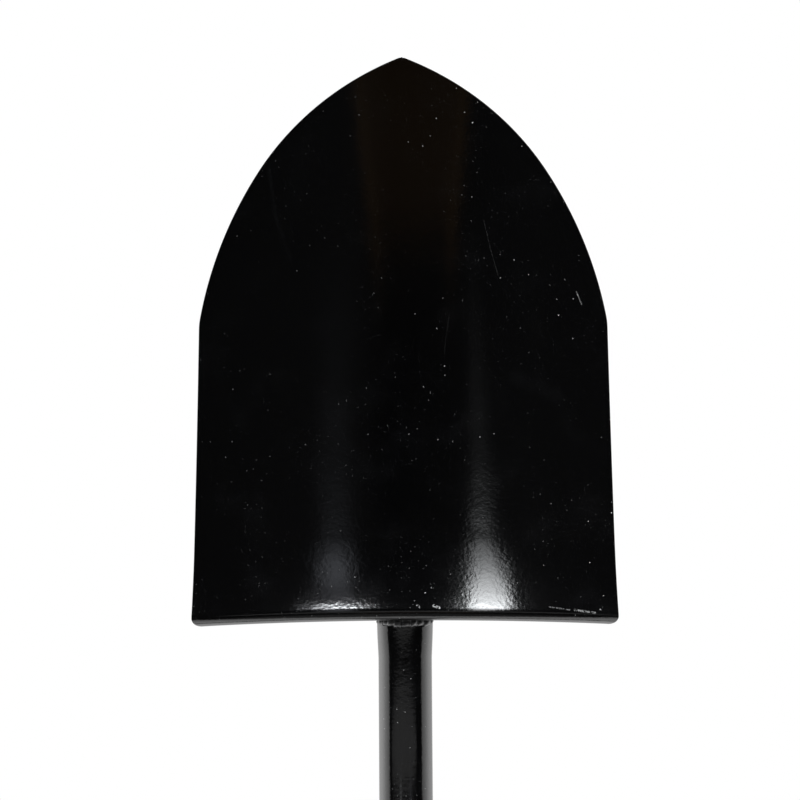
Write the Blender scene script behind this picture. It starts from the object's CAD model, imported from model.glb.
from math import asin, atan2, ceil, cos, hypot, pi, radians, sin, sqrt
from random import Random

import bmesh
import bpy
from mathutils import Matrix, Vector


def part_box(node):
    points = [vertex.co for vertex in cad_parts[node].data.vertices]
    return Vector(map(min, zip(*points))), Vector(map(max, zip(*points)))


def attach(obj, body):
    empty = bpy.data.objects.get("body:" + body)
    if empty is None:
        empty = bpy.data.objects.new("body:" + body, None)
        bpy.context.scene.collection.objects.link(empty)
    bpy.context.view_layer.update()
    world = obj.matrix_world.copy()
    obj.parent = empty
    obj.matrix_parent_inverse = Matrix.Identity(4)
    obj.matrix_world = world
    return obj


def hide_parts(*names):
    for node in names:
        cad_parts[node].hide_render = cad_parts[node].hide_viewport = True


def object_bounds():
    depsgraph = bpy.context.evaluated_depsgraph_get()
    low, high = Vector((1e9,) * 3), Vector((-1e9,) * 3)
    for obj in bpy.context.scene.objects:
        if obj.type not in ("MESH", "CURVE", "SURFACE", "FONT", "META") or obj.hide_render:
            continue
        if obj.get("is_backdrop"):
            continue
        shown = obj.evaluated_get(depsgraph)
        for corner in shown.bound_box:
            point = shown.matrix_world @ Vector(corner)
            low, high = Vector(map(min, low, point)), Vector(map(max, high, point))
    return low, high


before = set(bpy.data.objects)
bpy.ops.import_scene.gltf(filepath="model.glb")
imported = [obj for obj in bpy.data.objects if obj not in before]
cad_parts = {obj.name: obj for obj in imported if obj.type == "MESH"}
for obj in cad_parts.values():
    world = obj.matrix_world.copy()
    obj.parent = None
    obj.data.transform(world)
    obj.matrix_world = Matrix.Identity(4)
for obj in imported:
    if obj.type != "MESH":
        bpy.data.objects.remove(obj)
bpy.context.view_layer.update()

# A round point shovel with a welded tubular shaft and a D-shaped grip, in metres. The shaft's centre
# line is +Z, the grip is at z = 0, and the hollow face of the blade looks along -Y.
#
# Blade frame: x, w, u. Height u runs up the blade from the underside of its tread, w points out of
# its back, and w = 0 is the deepest point of its hollow face.

mm = 0.001

# The blade's outline and its line down the middle.
sheet = 1.9 * mm
blade_length = 295.5 * mm
tread_half_width = 109.8 * mm
shoulder = (105.7 * mm, 156.2 * mm)
quarter = (75.4 * mm, 234.6 * mm)
side_radius = 215.6 * mm
point_radius = 151.6 * mm
point_blend = 3.0 * mm
shoulder_blend = 45.0 * mm
corner_radius = 5.0 * mm
dish_radius = 200.0 * mm
bow_radius = 1000.0 * mm
flare_radius = 115.0 * mm
flare_top_lean = radians(3.0)
flare_foot_lean = radians(21.9)
roll_radius = 5.0 * mm
tread_depth = 12.0 * mm

# The tube, its bend, and its pressed end.
tube_radius = 14.3 * mm
tube_wall = 1.6 * mm
tube_foot = 128.0 * mm
lift = radians(8.0)
bend_radius = 340.0 * mm
bend_height = 700.0 * mm
bend_below_tread = 45.0 * mm
tongue_end = 132.0 * mm
tongue_nose = 20.0 * mm
pressed_sections = [
    (-10.0 * mm, 14.8 * mm, 13.8 * mm),
    (0.0 * mm, 15.1 * mm, 13.5 * mm),
    (35.0 * mm, 16.8 * mm, 11.4 * mm),
    (70.0 * mm, 19.6 * mm, 7.4 * mm),
    (100.0 * mm, 21.4 * mm, 4.1 * mm),
    (tongue_end, 22.2 * mm, 1.8 * mm),
]

# Weld beads: radius, and the mean pitch of the ripples.
tread_bead_size = (2.8 * mm, 3.4 * mm)
side_bead_size = (2.6 * mm, 3.2 * mm)
nose_bead_size = (2.1 * mm, 3.0 * mm)

# The grip bar.
bar_middle_radius = 17.0 * mm
bar_end_radius = 14.6 * mm
bar_half_length = 49.0 * mm
bar_bore = 6.1 * mm
groove_count = 9
groove_pitch = 8.0 * mm
groove_width = 2.2 * mm
groove_depth = 0.8 * mm

# The cut-out round the tube in the tread, which the tread's weld fills.
notch_clearance = 2.7 * mm

BLADE = (
    Matrix.Translation((0, 0, bend_height))
    @ Matrix.Rotation(lift, 4, "X")
    @ Matrix.Translation((0, -(sheet + tube_radius), bend_below_tread))
)


# Making pieces.


def new_object(name, shape):
    """Makes an object from a bmesh and puts it in the scene."""
    mesh = bpy.data.meshes.new(name)
    shape.to_mesh(mesh)
    shape.free()
    made = bpy.data.objects.new(name, mesh)
    bpy.context.collection.objects.link(made)
    return made


def new_piece(name, shape, replaced, material):
    """Makes an object from a bmesh, lets it stand for CAD nodes, and fastens it to the body."""
    piece = new_object(name, shape)
    piece.data.materials.append(material)
    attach(piece, "root")
    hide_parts(*replaced)
    return piece


def shade_smooth(shape, sharp_angle=radians(35)):
    """Smooth shading, with the edges that turn by more than an angle left sharp."""
    for face in shape.faces:
        face.smooth = True
    for edge in shape.edges:
        edge.smooth = len(edge.link_faces) == 2 and edge.calc_face_angle(0.0) < sharp_angle


def ring(shape, placement, segments):
    """One closed ring of a tube. Returns its edges."""
    made = bmesh.ops.create_circle(shape, cap_ends=False, segments=segments, radius=1.0, matrix=placement)
    return list({edge for vert in made["verts"] for edge in vert.link_edges})


def bridge_rings(shape, rings):
    """Joins each ring to the next."""
    for lower, upper in zip(rings, rings[1:]):
        bmesh.ops.bridge_loops(shape, edges=lower + upper)


def table_at(rows, height):
    """Reads a table of (height, a, b) at a height, on a smooth curve through its rows."""
    last = len(rows) - 2
    index = max(0, min(last, sum(row[0] <= height for row in rows) - 1))
    before, low = rows[max(index - 1, 0)], rows[index]
    high, after = rows[index + 1], rows[min(index + 2, len(rows) - 1)]
    span = high[0] - low[0]
    f = (height - low[0]) / span
    values = []
    for k in (1, 2):
        slope_low = (high[k] - before[k]) / (high[0] - before[0]) * span
        slope_high = (after[k] - low[k]) / (after[0] - low[0]) * span
        values.append(
            (2 * f**3 - 3 * f**2 + 1) * low[k]
            + (f**3 - 2 * f**2 + f) * slope_low
            + (3 * f**2 - 2 * f**3) * high[k]
            + (f**3 - f**2) * slope_high
        )
    return values


# The blade.


def circle_through(a, b, radius):
    """The centre of the circle of a radius through two points, on the side of the middle line."""
    middle = Vector(((a[0] + b[0]) / 2, (a[1] + b[1]) / 2))
    half = Vector((b[0] - a[0], b[1] - a[1])) / 2
    across = Vector((-half.y, half.x)).normalized()
    if across.x > 0:
        across = -across
    return middle + across * sqrt(radius**2 - half.length_squared)


side_centre = circle_through(shoulder, quarter, side_radius)
point_centre = circle_through(quarter, (0.0, blade_length), point_radius)
point_lean = atan2(-point_centre.x, blade_length - point_centre.y)
point_round_centre = blade_length - point_blend / cos(point_lean)
point_top = point_round_centre + point_blend


def half_width(u):
    """Half the blade's width at a height."""
    if u > point_round_centre + point_blend * cos(point_lean):
        return sqrt(max(point_blend**2 - (u - point_round_centre) ** 2, 0.0))
    if u > quarter[1]:
        return point_centre.x + sqrt(point_radius**2 - (u - point_centre.y) ** 2)
    if u > shoulder[1]:
        half = side_centre.x + sqrt(side_radius**2 - (u - side_centre.y) ** 2)
    else:
        half = tread_half_width + (shoulder[0] - tread_half_width) * u / shoulder[1]
    shoulder_reach = 3.15 * mm
    from_shoulder = abs(u - shoulder[1])
    if from_shoulder < shoulder_reach:
        half -= (shoulder_reach - from_shoulder) ** 2 / (2 * shoulder_blend)
    if u < corner_radius:
        half -= corner_radius - sqrt(corner_radius**2 - (corner_radius - max(u, 0.0)) ** 2)
    return half


crest = -(
    roll_radius * (1 - cos(flare_foot_lean))
    + flare_radius * (cos(flare_top_lean) - cos(flare_foot_lean))
    + bow_radius * (1 - cos(flare_top_lean))
)
roll_centre = Vector((crest + roll_radius, roll_radius))


def toward_front(lean):
    """The direction (w, u) square to the hollow face where it leans out by an angle."""
    return Vector((-cos(lean), sin(lean)))


flare_start = roll_centre + toward_front(flare_foot_lean) * roll_radius
flare_centre = flare_start + toward_front(flare_foot_lean) * flare_radius
bow_start = flare_centre - toward_front(flare_top_lean) * flare_radius
bow_centre = bow_start + toward_front(flare_top_lean) * bow_radius


def middle_line(t, depth):
    """The blade's section down its middle, (w, u): t runs from the tread's edge to the point."""
    tread_share, roll_share, flare_share = 0.03, 0.14, 0.21
    if t < tread_share:
        return Vector((roll_centre.x + tread_depth * (1 - t / tread_share), depth))
    t -= tread_share
    if t < roll_share:
        turn = (pi / 2 + flare_foot_lean) * t / roll_share
        return roll_centre + Vector((-sin(turn), -cos(turn))) * (roll_radius - depth)
    t -= roll_share
    if t < flare_share:
        lean = flare_foot_lean + (flare_top_lean - flare_foot_lean) * t / flare_share
        return flare_centre - toward_front(lean) * (flare_radius + depth)
    t = (t - flare_share) / (1 - tread_share - roll_share - flare_share)
    foot = bow_centre.y - sin(flare_top_lean) * (bow_radius + depth)
    rise = 1 - (1 - t) ** 1.25
    u = foot + (point_top - foot) * rise
    lean = asin((bow_centre.y - u) / (bow_radius + depth))
    return bow_centre - toward_front(lean) * (bow_radius + depth)


def on_sheet(x, t, depth):
    """A point of the blade, in its own frame, from its section turned about the dish's axis."""
    w, u = middle_line(t, depth)
    return Vector((x, sqrt((dish_radius + w) ** 2 - x**2) - dish_radius, u))


def blade_face(shape, depth, across=110, along=250):
    """The hollow face (depth 0) or the back (depth of the sheet). Returns its boundary edges."""
    made = bmesh.ops.create_grid(shape, x_segments=across, y_segments=along, size=1.0)
    edge_strip = 1.0 * mm
    inner = 1 - 2 / across + 1e-4
    for vert in made["verts"]:
        s, t = vert.co.x, (vert.co.y + 1) / 2
        half = half_width(middle_line(t, depth).y)
        if abs(s) > inner:
            x = half
        else:
            x = max(half - edge_strip, 0.9 * half) * abs(s) / (1 - 2 / across)
        vert.co = on_sheet(x if s > 0 else -x, t, depth)
    verts = made["verts"]
    bmesh.ops.remove_doubles(shape, verts=verts, dist=1e-6)
    return [edge for vert in verts if vert.is_valid for edge in vert.link_edges if edge.is_boundary]


def blade_mesh():
    shape = bmesh.new()
    front = set(blade_face(shape, 0.0))
    back = set(blade_face(shape, sheet))
    bmesh.ops.bridge_loops(shape, edges=list(front | back))
    bmesh.ops.recalc_face_normals(shape, faces=shape.faces)
    rim = [edge for edge in front | back if edge.is_valid]
    bmesh.ops.bevel(
        shape, geom=rim, offset=0.45 * mm, segments=3, profile=0.5, affect="EDGES", material=-1
    )
    bmesh.ops.transform(shape, matrix=BLADE, verts=shape.verts)
    shade_smooth(shape)
    return shape


def cut_notch(blade):
    """Cuts the tread open round the tube."""
    _, half, thick = pressed_sections[1]
    size = Matrix.Diagonal((half + notch_clearance, thick + notch_clearance, 2 * roll_radius, 1))
    shape = bmesh.new()
    bmesh.ops.create_cone(
        shape, cap_ends=True, segments=96, radius1=1.0, radius2=1.0, depth=1.0,
        matrix=BLADE @ Matrix.Translation((0, sheet + thick, 0)) @ size,
    )
    cutter = new_object("notch", shape)
    cutter_mesh = cutter.data
    cut = blade.modifiers.new("notch", "BOOLEAN")
    cut.operation = "DIFFERENCE"
    cut.solver = "EXACT"
    cut.object = cutter
    bpy.context.view_layer.update()
    whole = blade.data
    blade.data = bpy.data.meshes.new_from_object(
        blade.evaluated_get(bpy.context.evaluated_depsgraph_get())
    )
    blade.modifiers.clear()
    bpy.data.meshes.remove(whole)
    bpy.data.objects.remove(cutter)
    bpy.data.meshes.remove(cutter_mesh)
    blade.data.name = blade.name


# The shaft.


def tube_placements(inset, last_height):
    """Where each ring of the tube goes, from its foot to a height on the blade."""
    radius = tube_radius - inset
    bend_tangent = bend_radius * sin(lift) / (1 + cos(lift))
    bend_foot = bend_height - bend_tangent
    places = []
    straight_steps = 24
    for step in range(straight_steps + 1):
        z = tube_foot + (bend_foot - tube_foot) * step / straight_steps
        places.append(Matrix.Translation((0, 0, z)) @ Matrix.Diagonal((radius, radius, 1, 1)))
    bend_steps = 24
    centre = Matrix.Translation((0, -bend_radius, bend_foot))
    for step in range(1, bend_steps + 1):
        turn = Matrix.Rotation(lift * step / bend_steps, 4, "X")
        places.append(centre @ turn @ centre.inverted() @ places[straight_steps])
    rows = [(bend_tangent - bend_below_tread, tube_radius, tube_radius)] + pressed_sections
    ring_spacing = 1.0 * mm
    steps = ceil((last_height - rows[0][0]) / ring_spacing)
    for step in range(1, steps + 1):
        u = rows[0][0] + (last_height - rows[0][0]) * step / steps
        half, thick = table_at(rows, u)
        centre_w = sheet + thick
        nose = (u - (tongue_end - tongue_nose)) / tongue_nose
        if nose > 0:
            half *= sqrt(max(1 - nose**2, 0.02))
        size = Matrix.Diagonal((half - inset, thick - inset, 1, 1))
        places.append(BLADE @ Matrix.Translation((0, centre_w, u)) @ size)
    return places


def tube_mesh():
    shape = bmesh.new()
    segments = 128
    hollow_top = 100.0 * mm
    outer = [ring(shape, place, segments) for place in tube_placements(0.0, tongue_end)]
    inner = [ring(shape, place, segments) for place in tube_placements(tube_wall, hollow_top)]
    bridge_rings(shape, outer)
    bridge_rings(shape, inner)
    bridge_rings(shape, [outer[0], inner[0]])
    bmesh.ops.contextual_create(shape, geom=outer[-1])
    bmesh.ops.contextual_create(shape, geom=inner[-1])
    bmesh.ops.recalc_face_normals(shape, faces=shape.faces)
    shade_smooth(shape)
    return shape


# Welds.


def bead_mesh(route, bead_size, seed):
    """A weld bead along a route in the blade frame: overlapping ripples, a little uneven."""
    radius, ripple_pitch = bead_size
    random = Random(seed)
    shape = bmesh.new()
    steps = 220
    segments = 20
    flatness = 0.92
    points = [route(step / steps) for step in range(steps + 1)]
    length = sum((b - a).length for a, b in zip(points, points[1:]))
    ripples = []
    at = 0.0
    while at < length + ripple_pitch:
        ripples.append((at, random.uniform(0.82, 1.14), random.uniform(-0.12, 0.12)))
        at += ripple_pitch * random.uniform(0.7, 1.3)
    rings = []
    travelled = 0.0
    for step, point in enumerate(points):
        before, after = points[max(step - 1, 0)], points[min(step + 1, steps)]
        along = (after - before).normalized()
        travelled += (point - before).length
        number = max(i for i, row in enumerate(ripples) if row[0] <= travelled + 1e-9)
        start, size, sway = ripples[number]
        next_start = ripples[number + 1][0] if number + 1 < len(ripples) else start + ripple_pitch
        f = (travelled - start) / (next_start - start)
        swell = 0.86 + 0.2 * sin(pi * min(f * 1.25, 1.0)) ** 0.6
        end_taper = min(travelled, length - travelled) / (1.2 * radius)
        taper = sqrt(max(1 - (1 - min(end_taper, 1.0)) ** 2, 0.03))
        across = along.to_track_quat("Z", "Y").to_matrix().to_4x4()
        r = radius * size * swell * taper
        lean = Matrix.Rotation(0.5 * sin(pi * f), 4, "X")
        place = Matrix.Translation(point + Vector((0, 0, sway * radius))) @ across @ lean
        rings.append(ring(shape, place @ Matrix.Diagonal((r, r * flatness, 1, 1)), segments))
    bridge_rings(shape, rings)
    for end in (rings[0], rings[-1]):
        bmesh.ops.contextual_create(shape, geom=end)
    bmesh.ops.recalc_face_normals(shape, faces=shape.faces)
    bmesh.ops.transform(shape, matrix=BLADE, verts=shape.verts)
    shade_smooth(shape, radians(60))
    return shape


def back_of_blade(x, u):
    """How far back (w) the blade's back lies, above the flare."""
    bow = bow_radius - sqrt(bow_radius**2 - (u - bow_centre.y) ** 2)
    return sqrt((dish_radius - bow + sheet) ** 2 - x**2) - dish_radius


def side_route(side):
    """Along one side of the pressed end, where the tube has curved up from the blade by a gap."""
    low, high = 35.0 * mm, 117.0 * mm
    gap, outward = 2.4 * mm, 0.8 * mm

    def route(t):
        u = low + (high - low) * t
        half, thick = table_at(pressed_sections, u)
        x = half * sqrt(1 - (1 - gap / thick) ** 2) + outward
        return Vector((side * x, back_of_blade(x, u) + gap / 2, u))

    return route


def nose_route(t):
    """Round the nose of the pressed end, from one side to the other."""
    half_span, foot, above_blade = 22.0 * mm, 6.0 * mm, 0.6 * mm
    turn = pi * t
    x = -half_span * cos(turn)
    u = tongue_end - tongue_nose + foot + (tongue_nose - foot) * sin(turn)
    return Vector((x, back_of_blade(abs(x), u) + above_blade, u))


def tread_route(t):
    """Round the front of the tube under the tread. It sags in the middle and is a little uneven."""
    _, half, thick = pressed_sections[1]
    half_angle = radians(66)
    reach, below_tread, sag, unevenness = 0.3 * mm, 1.3 * mm, 0.6 * mm, 0.3 * mm
    turn = -pi / 2 + half_angle * (2 * t - 1)
    x = (half + reach) * cos(turn)
    w = sheet + thick + (thick + reach) * sin(turn)
    u = sag * cos(2 * turn) - below_tread - unevenness * abs(sin(5 * turn))
    return Vector((x, w, u))


# The grip.


def bar_radius(x):
    """The grip bar's radius at a place along it, with its grooves and its rounded ends."""
    crown = bar_middle_radius - (bar_middle_radius - bar_end_radius) * (x / bar_half_length) ** 2
    nearest = round(x / groove_pitch)
    if abs(nearest) <= groove_count // 2:
        off = abs(x - nearest * groove_pitch) / (groove_width / 2)
        lip, slope = 1.4, 0.6
        if off < lip:
            crown -= groove_depth * min(1.0, (lip - off) / slope) ** 1.5
    end = bar_half_length - abs(x)
    round_end = 1.5 * mm
    if end < round_end:
        crown -= round_end - sqrt(max(round_end**2 - (round_end - end) ** 2, 0.0))
    return crown


def bar_mesh():
    bar_low, bar_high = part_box("grip_bar")
    height = (bar_low.z + bar_high.z) / 2
    shape = bmesh.new()
    steps = 300
    profile = [Vector((-bar_half_length, bar_bore))]
    for step in range(steps + 1):
        f = step / steps
        x = bar_half_length * (2 * f - 1)
        profile.append(Vector((x, bar_radius(x))))
    profile.append(Vector((bar_half_length, bar_bore)))
    verts = [shape.verts.new((x, 0, r)) for x, r in profile]
    edges = [shape.edges.new(pair) for pair in zip(verts, verts[1:] + verts[:1])]
    bmesh.ops.spin(
        shape, geom=verts + edges, cent=(0, 0, 0), axis=(1, 0, 0), dvec=(0, 0, 0),
        angle=2 * pi, steps=96, use_merge=True,
    )
    bmesh.ops.remove_doubles(shape, verts=shape.verts, dist=1e-6)
    bmesh.ops.recalc_face_normals(shape, faces=shape.faces)
    bmesh.ops.translate(shape, vec=(0, 0, height), verts=shape.verts)
    shade_smooth(shape, radians(40))
    return shape


def smooth_copy(node):
    """A CAD node's shape with its triangles joined, so that its curves shade smoothly."""
    shape = bmesh.new()
    shape.from_mesh(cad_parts[node].data)
    bmesh.ops.remove_doubles(shape, verts=shape.verts, dist=2e-6)
    shade_smooth(shape, radians(28))
    return shape


# Finishes. A Graph holds a node tree, and a Wire is a value in it that expressions can use.


class Wire:
    def __init__(self, graph, out):
        self.graph = graph
        self.out = out

    def _maths(self, operation, first, second):
        return self.graph.add("ShaderNodeMath", {"operation": operation}, {0: first, 1: second})

    def __add__(self, other):
        return self._maths("ADD", self, other)

    def __sub__(self, other):
        return self._maths("SUBTRACT", self, other)

    def __rsub__(self, other):
        return self._maths("SUBTRACT", other, self)

    def __mul__(self, other):
        return self._maths("MULTIPLY", self, other)

    def __truediv__(self, other):
        return self._maths("DIVIDE", self, other)

    def __pow__(self, other):
        return self._maths("POWER", self, other)

    def also(self, name):
        """Another output of the node that this value comes from."""
        return Wire(self.graph, self.out.node.outputs[name])


class Graph:
    def __init__(self, owner):
        owner.use_nodes = True
        self.tree = owner.node_tree
        self.tree.nodes.clear()

    def add(self, kind, settings=None, sockets=None, out=0):
        """Adds a node: its settings first, then the values or links of its sockets."""
        node = self.tree.nodes.new(kind)
        for name, value in (settings or {}).items():
            if name == "stops":
                ramp = node.color_ramp
                while len(ramp.elements) < len(value):
                    ramp.elements.new(1.0)
                for element, (position, colour) in zip(ramp.elements, value):
                    element.position = position
                    element.color = (*colour, 1.0)
            else:
                setattr(node, name, value)
        for name, value in (sockets or {}).items():
            if isinstance(value, Wire):
                self.tree.links.new(value.out, node.inputs[name])
            else:
                node.inputs[name].default_value = value
        return Wire(self, node.outputs[out]) if node.outputs else node

    def maths(self, operation, *values):
        return self.add("ShaderNodeMath", {"operation": operation}, dict(enumerate(values)))

    def ease(self, value, low, high):
        """0 below low, 1 above high, and smooth between. low may be the larger."""
        return self.add(
            "ShaderNodeMapRange",
            {"interpolation_type": "SMOOTHSTEP"},
            {"Value": value, "From Min": low, "From Max": high},
        )

    def blend(self, mask, low, high):
        """One colour into another."""
        settings = {"data_type": "RGBA", "clamp_factor": True}
        return self.add("ShaderNodeMix", settings, {0: mask, 6: low, 7: high}, out=2)

    def axes(self, vector):
        """A vector's three numbers."""
        first = self.add("ShaderNodeSeparateXYZ", {}, {0: vector})
        return first, first.also("Y"), first.also("Z")

    def stretched(self, vector, factors):
        return self.add("ShaderNodeMapping", {}, {"Vector": vector, "Scale": factors})

    def noise(self, vector, per_metre, detail):
        sockets = {"Vector": vector, "Scale": per_metre, "Detail": detail}
        return self.add("ShaderNodeTexNoise", {}, sockets)

    def levels(self, value, low, high, stops):
        """Reads a brightness from a list of (value, brightness) pairs between low and high."""
        brightest = max(level for _, level in stops)
        ramp = [((at - low) / (high - low), (level / brightest,) * 3) for at, level in stops]
        share = self.add("ShaderNodeValToRGB", {"stops": ramp}, {0: (value - low) / (high - low)})
        return share * brightest


def new_finish(name):
    material = bpy.data.materials.new(name)
    return material, Graph(material)


def shown_on(graph, shader):
    graph.add("ShaderNodeOutputMaterial", {}, {"Surface": shader})


# Colours that lie on or under the enamel.
haze = (0.008, 0.0083, 0.009, 1)
dust_grey = (0.40, 0.40, 0.39, 1)
bare_steel = (0.26, 0.26, 0.255, 1)

# Marks on the hollow face, in the blade frame, in millimetres: two ends (x, u), half width, strength.
hairlines = [
    ((42.6, 210.5), (46.0, 196.0), 0.10, 0.07),
    ((46.0, 196.0), (50.2, 181.0), 0.10, 0.06),
    ((90.2, 172.0), (92.8, 165.5), 0.32, 0.35),
    ((24.2, 161.0), (21.6, 141.5), 0.12, 0.03),
]
crest_chips = [
    ((6.3, 8.2), (7.4, 7.4), 0.90, 0.30),
    ((15.2, 8.0), (17.8, 7.1), 1.05, 0.55),
    ((75.0, 8.2), (86.0, 6.9), 0.50, 0.25),
    ((88.0, 7.0), (98.0, 5.9), 0.75, 0.40),
    ((100.5, 7.8), (101.5, 6.9), 0.45, 0.60),
]
smudges = [
    ((-69.5, 236.0), (-66.0, 212.0), 1.6, 0.30),
    ((-66.0, 212.0), (-59.0, 190.0), 1.8, 0.20),
    ((59.0, 128.0), (80.0, 118.0), 6.0, 0.25),
]


def marks(graph, x, u, rows, edge):
    """Where a list of marks is. edge is how much of its half width each mark fades over."""
    total = 0.0
    for (x0, u0), (x1, u1), half, strength in rows:
        span_x, span_u = (x1 - x0) * mm, (u1 - u0) * mm
        length = hypot(span_x, span_u)
        from_x, from_u = x - x0 * mm, u - u0 * mm
        along = graph.add(
            "ShaderNodeClamp", {}, {"Value": (from_x * span_x + from_u * span_u) / length**2}
        )
        off_x, off_u = from_x - along * span_x, from_u - along * span_u
        distance = graph.maths("SQRT", off_x * off_x + off_u * off_u)
        near = graph.ease(distance, half * mm, half * mm * (1 - edge))
        total = near * strength + total
    return total


def dust(graph, place, per_metre, smallest, largest, kept):
    """Specks, one in each cell at most: smallest and largest are radii in cells, kept is a share."""
    distance = graph.add(
        "ShaderNodeTexVoronoi", {"feature": "F1"}, {"Vector": place, "Scale": per_metre}, out="Distance"
    )
    chance = graph.axes(distance.also("Color"))
    size = (chance[0] ** 2) * (largest - smallest) + smallest
    return graph.ease(distance, size, size * 0.5) * graph.ease(chance[1], kept + 0.01, kept)


def enamel(name, black, peel, smoothness, blade_marks):
    """Black enamel on steel: orange peel, settled dust, and the blade's own scratches and chips."""
    material, graph = new_finish(name)
    place = graph.add("ShaderNodeTexCoord", out="Object")
    patchy = graph.noise(place, 14.0, 3.0)
    cloud = graph.noise(place, 45.0, 4.0)
    specks = dust(graph, place, 270.0, 0.02, 0.11, 0.85) * graph.ease(patchy, 0.36, 0.56)
    fine = dust(graph, place, 700.0, 0.05, 0.15, 0.5) * graph.ease(cloud, 0.40, 0.62)
    film = graph.ease(cloud, 0.5, 0.85) * 0.15
    chips = 0.0
    if blade_marks:
        on_blade = graph.add(
            "ShaderNodeMapping",
            {"vector_type": "TEXTURE"},
            {"Vector": place, "Location": (0, 0, bend_height), "Rotation": (lift, 0, 0)},
        )
        x, _, height = graph.axes(on_blade)
        u = height - bend_below_tread
        normal = graph.axes(place.also("Normal"))
        hollow_side = graph.ease(normal[1], 0.05, -0.15)
        broken = graph.ease(graph.noise(place, 900.0, 2.0), 0.42, 0.56)
        scratches = marks(graph, x, u, hairlines, 0.6) * hollow_side * (broken * 0.6 + 0.4)
        chips = marks(graph, x, u, crest_chips, 0.9) * hollow_side * broken
        smears = graph.noise(graph.stretched(place, (1, 1, 0.25)), 160.0, 3.0)
        film = marks(graph, x, u, smudges, 0.95) * hollow_side * smears + film
        right_side = graph.ease(x, -0.06, 0.05)
        specks = scratches + specks * (right_side * 0.75 + 0.25)
        in_the_flare = graph.ease(u, 0.09, 0.03)
        peel = in_the_flare * peel + peel
    lint = graph.maths("MINIMUM", specks + fine * 0.35, 1.0)
    colour = graph.blend(film * 0.5, black, haze)
    colour = graph.blend(lint * 0.8, colour, dust_grey)
    colour = graph.blend(chips, colour, bare_steel)
    rough = graph.maths("MINIMUM", cloud * 0.06 + smoothness + film * 0.1 + lint * 0.4 + chips * 0.35, 1.0)
    waves = graph.noise(graph.stretched(place, (1, 1, 1.15)), 470.0, 3.0)
    swell = graph.noise(place, 75.0, 1.0)
    surface = (waves + swell * 1.6) * peel + lint * 0.04 - chips * 0.08
    bump = graph.add("ShaderNodeBump", {}, {"Height": surface, "Distance": 1.0 * mm, "Strength": 1.0})
    shader = graph.add(
        "ShaderNodeBsdfPrincipled", {}, {"Base Color": colour, "Roughness": rough, "Normal": bump}
    )
    shown_on(graph, shader)
    return material


def moulded_grip():
    """Black moulded polymer: a fine spark texture, dulled where hands and dust have been."""
    material, graph = new_finish("grip_moulding")
    place = graph.add("ShaderNodeTexCoord", out="Object")
    worn = graph.ease(graph.noise(place, 38.0, 3.0), 0.4, 0.75)
    specks = dust(graph, place, 260.0, 0.03, 0.09, 0.5)
    colour = graph.blend(worn, (0.010, 0.010, 0.011, 1), (0.021, 0.021, 0.022, 1))
    colour = graph.blend(specks * 0.6, colour, (0.30, 0.29, 0.27, 1))
    rough = worn * -0.14 + 0.62
    grain = graph.noise(place, 2600.0, 2.0)
    flow = graph.noise(place, 120.0, 2.0)
    bump = graph.add(
        "ShaderNodeBump", {}, {"Height": grain * 0.05 + flow * 0.03, "Distance": 1.0 * mm, "Strength": 1.0}
    )
    shader = graph.add(
        "ShaderNodeBsdfPrincipled", {}, {"Base Color": colour, "Roughness": rough, "Normal": bump}
    )
    shown_on(graph, shader)
    return material


def zinc_plate():
    """Dull bright zinc on turned steel, cloudy, with fine turning marks and a few dark spots."""
    material, graph = new_finish("zinc_steel")
    place = graph.add("ShaderNodeTexCoord", out="Object")
    cloudy = graph.noise(place, 320.0, 4.0)
    spots = graph.ease(graph.noise(place, 900.0, 2.0), 0.66, 0.72)
    colour = graph.blend(cloudy, (0.40, 0.41, 0.41, 1), (0.66, 0.66, 0.62, 1))
    colour = graph.blend(spots * 0.6, colour, (0.16, 0.15, 0.13, 1))
    turned = graph.noise(graph.stretched(place, (12, 1, 1)), 500.0, 2.0)
    bump = graph.add(
        "ShaderNodeBump", {}, {"Height": turned * 0.02 + cloudy * 0.02, "Distance": 1.0 * mm, "Strength": 0.8}
    )
    shader = graph.add(
        "ShaderNodeBsdfPrincipled",
        {},
        {"Base Color": colour, "Roughness": cloudy * 0.25 + 0.24, "Metallic": 0.95, "Normal": bump},
    )
    shown_on(graph, shader)
    return material


gloss = enamel("gloss_enamel", (0.0004, 0.0004, 0.00045, 1), 0.027, 0.07, True)
weld = enamel("weld_enamel", (0.007, 0.007, 0.0072, 1), 0.055, 0.30, False)
moulding = moulded_grip()
zinc = zinc_plate()

# The pieces.
blade_piece = new_piece("blade_sheet", blade_mesh(), ["blade"], gloss)
cut_notch(blade_piece)
new_piece("bent_tube", tube_mesh(), ["shaft_tube"], gloss)
new_piece("tread_bead", bead_mesh(tread_route, tread_bead_size, 3), ["tread_weld"], weld)
for side, word in ((-1, "left"), (1, "right")):
    bead = bead_mesh(side_route(side), side_bead_size, 5 + side)
    new_piece(f"side_bead_{word}", bead, [f"side_weld_{word}"], weld)
new_piece("nose_bead", bead_mesh(nose_route, nose_bead_size, 11), ["nose_weld"], weld)
new_piece("ribbed_bar", bar_mesh(), ["grip_bar"], moulding)
for half in ("front", "rear"):
    new_piece(f"pressed_yoke_{half}", smooth_copy(f"yoke_{half}"), [f"yoke_{half}"], gloss)
new_piece("domed_bolt", smooth_copy("bar_bolt"), ["bar_bolt"], zinc)
new_piece("domed_rivets", smooth_copy("neck_rivets"), ["neck_rivets"], zinc)
for node in ("bar_core_tube", "bar_nut", "bar_washers"):
    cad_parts[node].data.materials.clear()
    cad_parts[node].data.materials.append(zinc)


# The camera, square to the blade.


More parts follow.
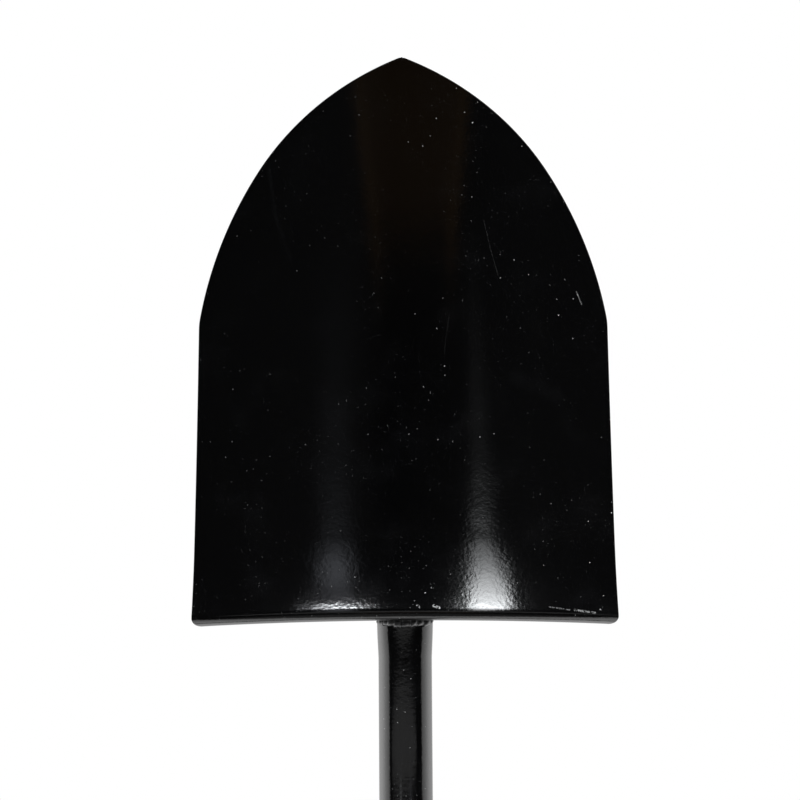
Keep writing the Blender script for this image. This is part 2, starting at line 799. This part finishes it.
def set_camera():
    aim = BLADE @ Vector((-1.9 * mm, 0, 116.3 * mm))
    outward = BLADE.to_3x3() @ Vector((0, -1, 0))
    distance = 1.45
    roll = radians(0.36)
    up = BLADE.to_3x3() @ Vector((sin(roll), 0, cos(roll)))
    right = BLADE.to_3x3() @ Vector((cos(roll), 0, -sin(roll)))
    camera = bpy.data.cameras.new("camera")
    camera.lens = 123.3
    camera.sensor_width = 36.0
    camera.clip_end = 50.0
    holder = bpy.data.objects.new("camera", camera)
    bpy.context.collection.objects.link(holder)
    place = Matrix((right, up, outward)).transposed().to_4x4()
    place.translation = aim + outward * distance
    holder.matrix_world = place
    bpy.context.scene.camera = holder


set_camera()


def set_world():
    """White to look at. What it reflects is dark on the side that the hollow face looks to, with a
    tall window of light on either side of the dark. Angles are in degrees."""
    world = bpy.data.worlds.new("studio")
    bpy.context.scene.world = world
    graph = Graph(world)
    towards = graph.add("ShaderNodeTexCoord", out="Generated")
    x, y, z = graph.axes(towards)
    azimuth = graph.maths("DEGREES", graph.maths("ARCTAN2", x, 0 - y))
    elevation = graph.maths("DEGREES", graph.maths("ARCSINE", z))

    def between(low, high, soft_low, soft_high):
        """1 between two azimuths. Each side fades over a softness each way."""
        inside = graph.ease(azimuth, low - soft_low, low + soft_low)
        return inside * graph.ease(azimuth, high + soft_high, high - soft_high)

    # The pale room behind the shovel.
    room = graph.levels(
        y, -1.0, 1.0,
        [(-0.285, 0.0), (-0.265, 1.3), (-0.12, 1.75), (0.29, 2.6), (0.53, 2.4), (0.79, 1.4), (0.93, 0.9)],
    )
    room = room * (1 - x * 0.1)

    # The dark in front, which is a little less dark to the sides and under the crest.
    dim = graph.levels(
        azimuth, -90.0, 90.0, [(-70, 0.03), (-36, 0.035), (-9, 0.012), (5, 0.004), (14, 0.035), (60, 0.025)]
    )

    # The windows, brighter with height, and a lamp above the left one.
    structure = graph.noise(graph.stretched(towards, (1, 1, 1.8)), 34.0, 4.0) * 1.7 + 0.15
    main_window = graph.levels(
        elevation, -20.0, 50.0,
        [(-16, 0.0), (-10, 0.09), (-5.6, 0.12), (-4.6, 1.0), (-3, 1.6), (2, 2.7), (9, 5.2), (17, 9.8),
         (24, 15.5), (29, 22), (32, 34)],
    )
    widening = (elevation - 5.0) * -0.2
    main_window = main_window * between(widening - 26.0, -19.2, 2.6, 1.3) * structure
    side_window = graph.levels(
        elevation, -20.0, 50.0,
        [(-16, 0.0), (-7, 0.06), (-3, 0.28), (2, 0.6), (9, 1.15), (17, 1.2), (22, 0.6), (27, 0.7), (31, 2.0)],
    )
    side_window = side_window * between(16.0, 23.5, 3.4, 4.2) * structure
    top_lamp = graph.ease(elevation, 30.7, 31.3) * between(13.0, 26.5, 3.0, 6.0) * 50.0

    # A brown card below them that tapers upwards, with brighter edges.
    narrow = (elevation + 15.5) * 1.13
    card_top = graph.ease(elevation, -27.0, -25.0)
    card = graph.ease(elevation, -16.2, -17.4) * card_top * between(narrow - 13.5, 7.0 - narrow, 0.6, 0.6)
    card_left = between(narrow - 14.8, narrow - 12.4, 0.9, 0.9)
    card_right = between(6.0 - narrow, 8.0 - narrow, 0.9, 0.9)
    card_edges = (card_left + card_right) * graph.ease(elevation, -14.6, -16.0) * card_top

    def glow(colour, strength):
        return graph.add("ShaderNodeBackground", {}, {"Color": (*colour, 1), "Strength": strength})

    below_front = graph.ease(elevation, -24.0, -50.0) * (x * 0.12 + 0.22)
    lit = glow((1, 1, 1), room + dim + below_front)
    for more in (
        glow((0.95, 0.98, 1.0), main_window),
        glow((0.86, 0.90, 1.0), side_window),
        glow((0.94, 0.96, 1.0), top_lamp),
        glow((1.0, 0.56, 0.18), card * 0.075 + card_edges * 0.11),
    ):
        lit = graph.add("ShaderNodeAddShader", {}, {0: lit, 1: more})
    seen = graph.add("ShaderNodeLightPath", out="Is Camera Ray")
    shown = graph.add("ShaderNodeMixShader", {}, {0: seen, 1: lit, 2: glow((1, 1, 1), 1.0)})
    graph.add("ShaderNodeOutputWorld", {}, {"Surface": shown})


set_world()


def set_low_card():
    """A dim card low in front, which only the round tube picks up, below the blade."""
    reach_across, reach_up = 0.55, 0.045
    upright = Matrix.Translation((-0.15, -0.365, 0.693)) @ Matrix.Rotation(radians(90), 4, "X")
    stand = upright @ Matrix.Diagonal((reach_across, reach_up, 1, 1))
    shape = bmesh.new()
    bmesh.ops.create_circle(shape, cap_ends=True, segments=96, radius=1.0, matrix=stand)
    card = new_object("low_card", shape)
    material, graph = new_finish("lit_card")
    place = graph.add("ShaderNodeTexCoord", out="Object")
    strength = graph.noise(place, 6.0, 2.0) * 0.2 + 0.32
    shown_on(graph, graph.add("ShaderNodeEmission", {}, {"Color": (1, 1, 1, 1), "Strength": strength}))
    card.data.materials.append(material)
    card.visible_camera = False
    card.visible_diffuse = False
    card.visible_shadow = False
    card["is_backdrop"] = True


set_low_card()


def set_floor():
    """A pale floor that fades into the white round it."""
    floor_radius, fade_start, fade_end = 3.0, 0.6, 2.6
    low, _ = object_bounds()
    shape = bmesh.new()
    bmesh.ops.create_circle(shape, cap_ends=True, segments=96, radius=floor_radius)
    bmesh.ops.translate(shape, vec=(0, 0, low.z), verts=shape.verts)
    floor = new_object("floor", shape)
    material, graph = new_finish("pale_floor")
    place = graph.add("ShaderNodeTexCoord", out="Object")
    x, y, _ = graph.axes(place)
    reach = graph.maths("SQRT", x * x + y * y)
    mottle = graph.noise(place, 9.0, 4.0)
    colour = graph.blend(mottle, (0.74, 0.74, 0.735, 1), (0.80, 0.80, 0.795, 1))
    matt = graph.add(
        "ShaderNodeBsdfPrincipled", {}, {"Base Color": colour, "Roughness": mottle * 0.2 + 0.55}
    )
    clear = graph.add("ShaderNodeBsdfTransparent")
    fade = graph.ease(reach, fade_start, fade_end)
    faded = graph.add("ShaderNodeMixShader", {}, {0: fade, 1: matt, 2: clear})
    shown_on(graph, faded)
    floor.data.materials.append(material)
    floor.visible_glossy = False
    floor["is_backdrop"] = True


set_floor()
bpy.context.scene.view_settings.view_transform = "Standard"
